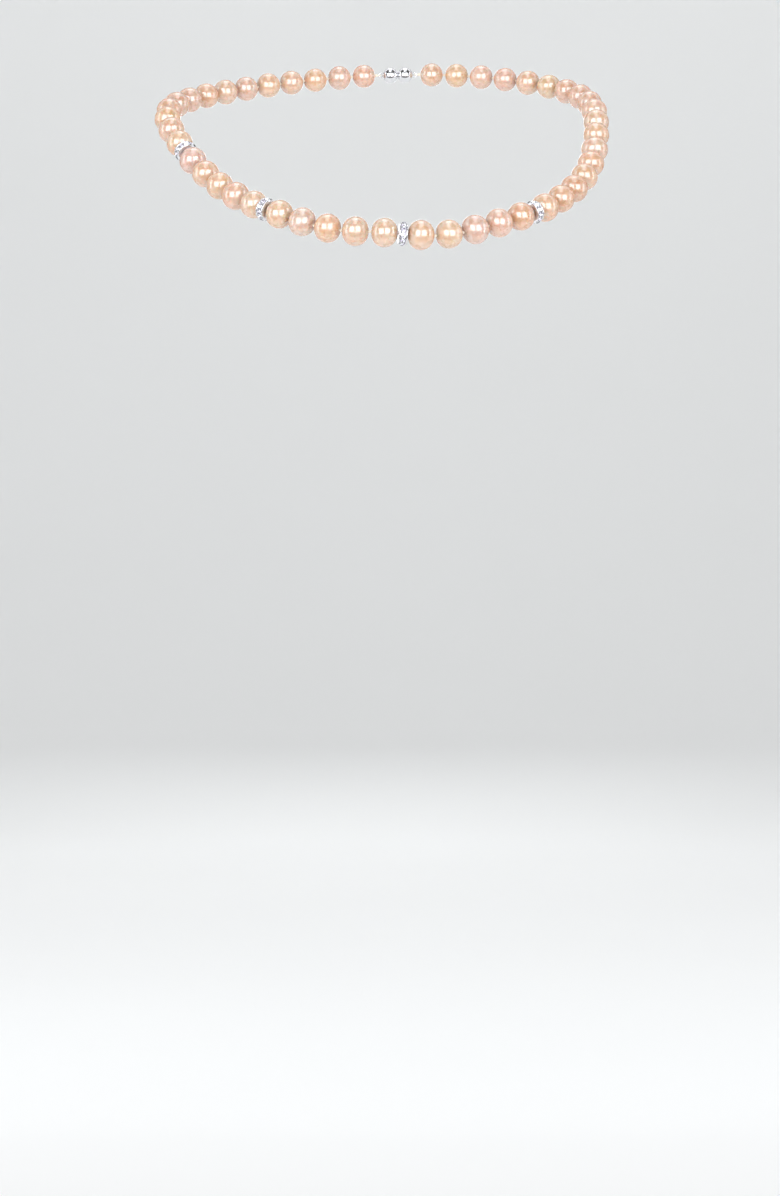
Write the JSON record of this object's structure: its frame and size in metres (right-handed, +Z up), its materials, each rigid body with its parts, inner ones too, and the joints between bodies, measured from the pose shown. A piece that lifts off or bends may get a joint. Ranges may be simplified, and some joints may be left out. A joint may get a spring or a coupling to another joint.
{
  "type": "pearl necklace",
  "caption": "Closed strand of knotted near-round pearls with crystal rondelles near the front and a magnetic ball clasp at the nape, shaped as it lies round a neck.",
  "frame": {"origin": "middle of the loop on the axis of the neck it lies round, halfway between its lowest pearls in front and its highest at the nape", "axes": "+Z up along the neck, +X to the right seen from the front, -Y towards the front"},
  "size_m": [0.1543, 0.1338, 0.0776],
  "materials": {
    "pearl_peach": "gloss",
    "pearl_pink": "gloss",
    "pearl_cream": "gloss",
    "rhodium_silver": "polished",
    "crystal": "polished",
    "silk": "matte",
    "magnet": "satin"
  },
  "bodies": {
    "front": {"rondelle_centre_frame": "rhodium_silver", "rondelle_centre_crystals": "crystal", "silk_thread": "silk"},
    "pearl_left_01": {"pearl_left_01": "pearl_peach"},
    "pearl_left_02": {"pearl_left_02": "pearl_peach"},
    "pearl_left_03": {"pearl_left_03": "pearl_peach"},
    "pearl_left_04": {"pearl_left_04": "pearl_pink"},
    "pearl_left_05": {"pearl_left_05": "pearl_cream"},
    "rondelle_left_05": {"rondelle_left_05_frame": "rhodium_silver", "rondelle_left_05_crystals": "crystal"},
    "pearl_left_06": {"pearl_left_06": "pearl_cream"},
    "pearl_left_07": {"pearl_left_07": "pearl_pink"},
    "pearl_left_08": {"pearl_left_08": "pearl_peach"},
    "pearl_left_09": {"pearl_left_09": "pearl_peach"},
    "pearl_left_10": {"pearl_left_10": "pearl_pink"},
    "rondelle_left_10": {"rondelle_left_10_frame": "rhodium_silver", "rondelle_left_10_crystals": "crystal"},
    "pearl_left_11": {"pearl_left_11": "pearl_cream"},
    "pearl_left_12": {"pearl_left_12": "pearl_cream"},
    "pearl_left_13": {"pearl_left_13": "pearl_peach"},
    "pearl_left_14": {"pearl_left_14": "pearl_peach"},
    "pearl_left_15": {"pearl_left_15": "pearl_pink"},
    "pearl_left_16": {"pearl_left_16": "pearl_pink"},
    "pearl_left_17": {"pearl_left_17": "pearl_peach"},
    "pearl_left_18": {"pearl_left_18": "pearl_cream"},
    "pearl_left_19": {"pearl_left_19": "pearl_pink"},
    "pearl_left_20": {"pearl_left_20": "pearl_peach"},
    "pearl_left_21": {"pearl_left_21": "pearl_cream"},
    "pearl_left_22": {"pearl_left_22": "pearl_peach"},
    "pearl_left_23": {"pearl_left_23": "pearl_pink"},
    "pearl_left_24": {"pearl_left_24": "pearl_peach"},
    "clasp_left": {"clasp_left_ball": "rhodium_silver", "clasp_left_magnet": "magnet"},
    "pearl_right_01": {"pearl_right_01": "pearl_cream"},
    "pearl_right_02": {"pearl_right_02": "pearl_cream"},
    "pearl_right_03": {"pearl_right_03": "pearl_pink"},
    "pearl_right_04": {"pearl_right_04": "pearl_pink"},
    "pearl_right_05": {"pearl_right_05": "pearl_peach"},
    "rondelle_right_05": {"rondelle_right_05_frame": "rhodium_silver", "rondelle_right_05_crystals": "crystal"},
    "pearl_right_06": {"pearl_right_06": "pearl_peach"},
    "pearl_right_07": {"pearl_right_07": "pearl_peach"},
    "pearl_right_08": {"pearl_right_08": "pearl_peach"},
    "pearl_right_09": {"pearl_right_09": "pearl_cream"},
    "pearl_right_10": {"pearl_right_10": "pearl_peach"},
    "pearl_right_11": {"pearl_right_11": "pearl_cream"},
    "pearl_right_12": {"pearl_right_12": "pearl_peach"},
    "pearl_right_13": {"pearl_right_13": "pearl_cream"},
    "pearl_right_14": {"pearl_right_14": "pearl_pink"},
    "pearl_right_15": {"pearl_right_15": "pearl_pink"},
    "pearl_right_16": {"pearl_right_16": "pearl_pink"},
    "pearl_right_17": {"pearl_right_17": "pearl_peach"},
    "pearl_right_18": {"pearl_right_18": "pearl_cream"},
    "pearl_right_19": {"pearl_right_19": "pearl_peach"},
    "pearl_right_20": {"pearl_right_20": "pearl_pink"},
    "pearl_right_21": {"pearl_right_21": "pearl_cream"},
    "pearl_right_22": {"pearl_right_22": "pearl_peach"},
    "pearl_right_23": {"pearl_right_23": "pearl_peach"},
    "clasp_right": {"clasp_right_ball": "rhodium_silver", "clasp_right_magnet": "magnet"}
  },
  "joints": [
    {"name": "flex_pearl_left_01", "type": "hinge", "parent": "front", "child": "pearl_left_01", "pos_m": [0.00546, -0.06261, -0.03382], "axis": [0, 0, 1], "range_deg": [0, 12], "deforming": ["silk_thread"]},
    {"name": "flex_pearl_left_02", "type": "hinge", "parent": "pearl_left_01", "child": "pearl_left_02", "pos_m": [-0.00365, -0.06241, -0.03328], "axis": [0, 0, 1], "range_deg": [0, 12]},
    {"name": "flex_pearl_left_03", "type": "hinge", "parent": "pearl_left_02", "child": "pearl_left_03", "pos_m": [-0.01289, -0.06064, -0.03272], "axis": [0, 0, 1], "range_deg": [0, 12]},
    {"name": "flex_pearl_left_04", "type": "hinge", "parent": "pearl_left_03", "child": "pearl_left_04", "pos_m": [-0.02153, -0.05745, -0.03088], "axis": [0, 0, 1], "range_deg": [0, 12]},
    {"name": "flex_pearl_left_05", "type": "hinge", "parent": "pearl_left_04", "child": "pearl_left_05", "pos_m": [-0.02936, -0.05318, -0.02798], "axis": [0, 0, 1], "range_deg": [0, 12]},
    {"name": "flex_rondelle_left_05", "type": "hinge", "parent": "pearl_left_05", "child": "rondelle_left_05", "pos_m": [-0.03631, -0.04821, -0.02507], "axis": [0, 0, 1], "range_deg": [0, 12]},
    {"name": "flex_pearl_left_06", "type": "hinge", "parent": "rondelle_left_05", "child": "pearl_left_06", "pos_m": [-0.0385, -0.04641, -0.02411], "axis": [0, 0, 1], "range_deg": [0, 12]},
    {"name": "flex_pearl_left_07", "type": "hinge", "parent": "pearl_left_06", "child": "pearl_left_07", "pos_m": [-0.0447, -0.04066, -0.02103], "axis": [0, 0, 1], "range_deg": [0, 12]},
    {"name": "flex_pearl_left_08", "type": "hinge", "parent": "pearl_left_07", "child": "pearl_left_08", "pos_m": [-0.0505, -0.03443, -0.0173], "axis": [0, 0, 1], "range_deg": [0, 12]},
    {"name": "flex_pearl_left_09", "type": "hinge", "parent": "pearl_left_08", "child": "pearl_left_09", "pos_m": [-0.05574, -0.02813, -0.01296], "axis": [0, 0, 1], "range_deg": [0, 12]},
    {"name": "flex_pearl_left_10", "type": "hinge", "parent": "pearl_left_09", "child": "pearl_left_10", "pos_m": [-0.06049, -0.02188, -0.00807], "axis": [0, 0, 1], "range_deg": [0, 12]},
    {"name": "flex_rondelle_left_10", "type": "hinge", "parent": "pearl_left_10", "child": "rondelle_left_10", "pos_m": [-0.06462, -0.0159, -0.00294], "axis": [0, 0, 1], "range_deg": [0, 12]},
    {"name": "flex_pearl_left_11", "type": "hinge", "parent": "rondelle_left_10", "child": "pearl_left_11", "pos_m": [-0.06591, -0.01386, -0.00116], "axis": [0, 0, 1], "range_deg": [0, 12]},
    {"name": "flex_pearl_left_12", "type": "hinge", "parent": "pearl_left_11", "child": "pearl_left_12", "pos_m": [-0.06932, -0.00757, 0.00407], "axis": [0, 0, 1], "range_deg": [0, 12]},
    {"name": "flex_pearl_left_13", "type": "hinge", "parent": "pearl_left_12", "child": "pearl_left_13", "pos_m": [-0.07191, -0.00036, 0.00911], "axis": [0, 0, 1], "range_deg": [0, 12]},
    {"name": "flex_pearl_left_14", "type": "hinge", "parent": "pearl_left_13", "child": "pearl_left_14", "pos_m": [-0.07291, 0.00764, 0.01342], "axis": [0, 0, 1], "range_deg": [0, 12]},
    {"name": "flex_pearl_left_15", "type": "hinge", "parent": "pearl_left_14", "child": "pearl_left_15", "pos_m": [-0.07179, 0.01598, 0.01691], "axis": [0, 0, 1], "range_deg": [0, 12]},
    {"name": "flex_pearl_left_16", "type": "hinge", "parent": "pearl_left_15", "child": "pearl_left_16", "pos_m": [-0.06861, 0.02402, 0.01976], "axis": [0, 0, 1], "range_deg": [0, 12]},
    {"name": "flex_pearl_left_17", "type": "hinge", "parent": "pearl_left_16", "child": "pearl_left_17", "pos_m": [-0.06382, 0.03132, 0.02219], "axis": [0, 0, 1], "range_deg": [0, 12]},
    {"name": "flex_pearl_left_18", "type": "hinge", "parent": "pearl_left_17", "child": "pearl_left_18", "pos_m": [-0.05787, 0.03776, 0.02437], "axis": [0, 0, 1], "range_deg": [0, 12]},
    {"name": "flex_pearl_left_19", "type": "hinge", "parent": "pearl_left_18", "child": "pearl_left_19", "pos_m": [-0.0511, 0.04336, 0.02636], "axis": [0, 0, 1], "range_deg": [0, 12]},
    {"name": "flex_pearl_left_20", "type": "hinge", "parent": "pearl_left_19", "child": "pearl_left_20", "pos_m": [-0.04372, 0.04818, 0.02817], "axis": [0, 0, 1], "range_deg": [0, 12]},
    {"name": "flex_pearl_left_21", "type": "hinge", "parent": "pearl_left_20", "child": "pearl_left_21", "pos_m": [-0.03591, 0.05225, 0.0298], "axis": [0, 0, 1], "range_deg": [0, 12]},
    {"name": "flex_pearl_left_22", "type": "hinge", "parent": "pearl_left_21", "child": "pearl_left_22", "pos_m": [-0.02776, 0.05564, 0.03122], "axis": [0, 0, 1], "range_deg": [0, 12]},
    {"name": "flex_pearl_left_23", "type": "hinge", "parent": "pearl_left_22", "child": "pearl_left_23", "pos_m": [-0.01936, 0.05836, 0.03243], "axis": [0, 0, 1], "range_deg": [0, 12]},
    {"name": "flex_pearl_left_24", "type": "hinge", "parent": "pearl_left_23", "child": "pearl_left_24", "pos_m": [-0.01077, 0.06042, 0.03338], "axis": [0, 0, 1], "range_deg": [0, 12]},
    {"name": "flex_clasp_left", "type": "hinge", "parent": "pearl_left_24", "child": "clasp_left", "pos_m": [-0.00205, 0.06183, 0.03406], "axis": [0, 0, 1], "range_deg": [0, 12]},
    {"name": "flex_pearl_right_01", "type": "hinge", "parent": "front", "child": "pearl_right_01", "pos_m": [0.00844, -0.06235, -0.03406], "axis": [0, 0, -1], "range_deg": [0, 12]},
    {"name": "flex_pearl_right_02", "type": "hinge", "parent": "pearl_right_01", "child": "pearl_right_02", "pos_m": [0.0174, -0.06065, -0.03438], "axis": [0, 0, -1], "range_deg": [0, 12]},
    {"name": "flex_pearl_right_03", "type": "hinge", "parent": "pearl_right_02", "child": "pearl_right_03", "pos_m": [0.02622, -0.0576, -0.03313], "axis": [0, 0, -1], "range_deg": [0, 12]},
    {"name": "flex_pearl_right_04", "type": "hinge", "parent": "pearl_right_03", "child": "pearl_right_04", "pos_m": [0.03435, -0.05357, -0.03067], "axis": [0, 0, -1], "range_deg": [0, 12]},
    {"name": "flex_pearl_right_05", "type": "hinge", "parent": "pearl_right_04", "child": "pearl_right_05", "pos_m": [0.04189, -0.04868, -0.02802], "axis": [0, 0, -1], "range_deg": [0, 12]},
    {"name": "flex_rondelle_right_05", "type": "hinge", "parent": "pearl_right_05", "child": "rondelle_right_05", "pos_m": [0.04861, -0.04324, -0.02547], "axis": [0, 0, -1], "range_deg": [0, 12]},
    {"name": "flex_pearl_right_06", "type": "hinge", "parent": "rondelle_right_05", "child": "pearl_right_06", "pos_m": [0.05071, -0.0413, -0.02455], "axis": [0, 0, -1], "range_deg": [0, 12]},
    {"name": "flex_pearl_right_07", "type": "hinge", "parent": "pearl_right_06", "child": "pearl_right_07", "pos_m": [0.0565, -0.03518, -0.02141], "axis": [0, 0, -1], "range_deg": [0, 12]},
    {"name": "flex_pearl_right_08", "type": "hinge", "parent": "pearl_right_07", "child": "pearl_right_08", "pos_m": [0.06164, -0.02848, -0.01755], "axis": [0, 0, -1], "range_deg": [0, 12]},
    {"name": "flex_pearl_right_09", "type": "hinge", "parent": "pearl_right_08", "child": "pearl_right_09", "pos_m": [0.06584, -0.02147, -0.01318], "axis": [0, 0, -1], "range_deg": [0, 12]},
    {"name": "flex_pearl_right_10", "type": "hinge", "parent": "pearl_right_09", "child": "pearl_right_10", "pos_m": [0.06899, -0.01431, -0.00827], "axis": [0, 0, -1], "range_deg": [0, 12]},
    {"name": "flex_pearl_right_11", "type": "hinge", "parent": "pearl_right_10", "child": "pearl_right_11", "pos_m": [0.07107, -0.00719, -0.00282], "axis": [0, 0, -1], "range_deg": [0, 12]},
    {"name": "flex_pearl_right_12", "type": "hinge", "parent": "pearl_right_11", "child": "pearl_right_12", "pos_m": [0.07226, -0.00014, 0.00295], "axis": [0, 0, -1], "range_deg": [0, 12]},
    {"name": "flex_pearl_right_13", "type": "hinge", "parent": "pearl_right_12", "child": "pearl_right_13", "pos_m": [0.0729, 0.00703, 0.0086], "axis": [0, 0, -1], "range_deg": [0, 12]},
    {"name": "flex_pearl_right_14", "type": "hinge", "parent": "pearl_right_13", "child": "pearl_right_14", "pos_m": [0.07307, 0.01463, 0.01365], "axis": [0, 0, -1], "range_deg": [0, 12]},
    {"name": "flex_pearl_right_15", "type": "hinge", "parent": "pearl_right_14", "child": "pearl_right_15", "pos_m": [0.07249, 0.02266, 0.0179], "axis": [0, 0, -1], "range_deg": [0, 12]},
    {"name": "flex_pearl_right_16", "type": "hinge", "parent": "pearl_right_15", "child": "pearl_right_16", "pos_m": [0.0706, 0.03079, 0.02145], "axis": [0, 0, -1], "range_deg": [0, 12]},
    {"name": "flex_pearl_right_17", "type": "hinge", "parent": "pearl_right_16", "child": "pearl_right_17", "pos_m": [0.06701, 0.03852, 0.02452], "axis": [0, 0, -1], "range_deg": [0, 12]},
    {"name": "flex_pearl_right_18", "type": "hinge", "parent": "pearl_right_17", "child": "pearl_right_18", "pos_m": [0.06174, 0.04533, 0.0272], "axis": [0, 0, -1], "range_deg": [0, 12]},
    {"name": "flex_pearl_right_19", "type": "hinge", "parent": "pearl_right_18", "child": "pearl_right_19", "pos_m": [0.05511, 0.05096, 0.02948], "axis": [0, 0, -1], "range_deg": [0, 12]},
    {"name": "flex_pearl_right_20", "type": "hinge", "parent": "pearl_right_19", "child": "pearl_right_20", "pos_m": [0.04752, 0.05536, 0.03133], "axis": [0, 0, -1], "range_deg": [0, 12]},
    {"name": "flex_pearl_right_21", "type": "hinge", "parent": "pearl_right_20", "child": "pearl_right_21", "pos_m": [0.03932, 0.05862, 0.03275], "axis": [0, 0, -1], "range_deg": [0, 12]},
    {"name": "flex_pearl_right_22", "type": "hinge", "parent": "pearl_right_21", "child": "pearl_right_22", "pos_m": [0.03074, 0.06085, 0.03373], "axis": [0, 0, -1], "range_deg": [0, 12]},
    {"name": "flex_pearl_right_23", "type": "hinge", "parent": "pearl_right_22", "child": "pearl_right_23", "pos_m": [0.02197, 0.06217, 0.03431], "axis": [0, 0, -1], "range_deg": [0, 12]},
    {"name": "flex_clasp_right", "type": "hinge", "parent": "pearl_right_23", "child": "clasp_right", "pos_m": [0.01313, 0.06267, 0.03451], "axis": [0, 0, -1], "range_deg": [0, 12]}
  ]
}
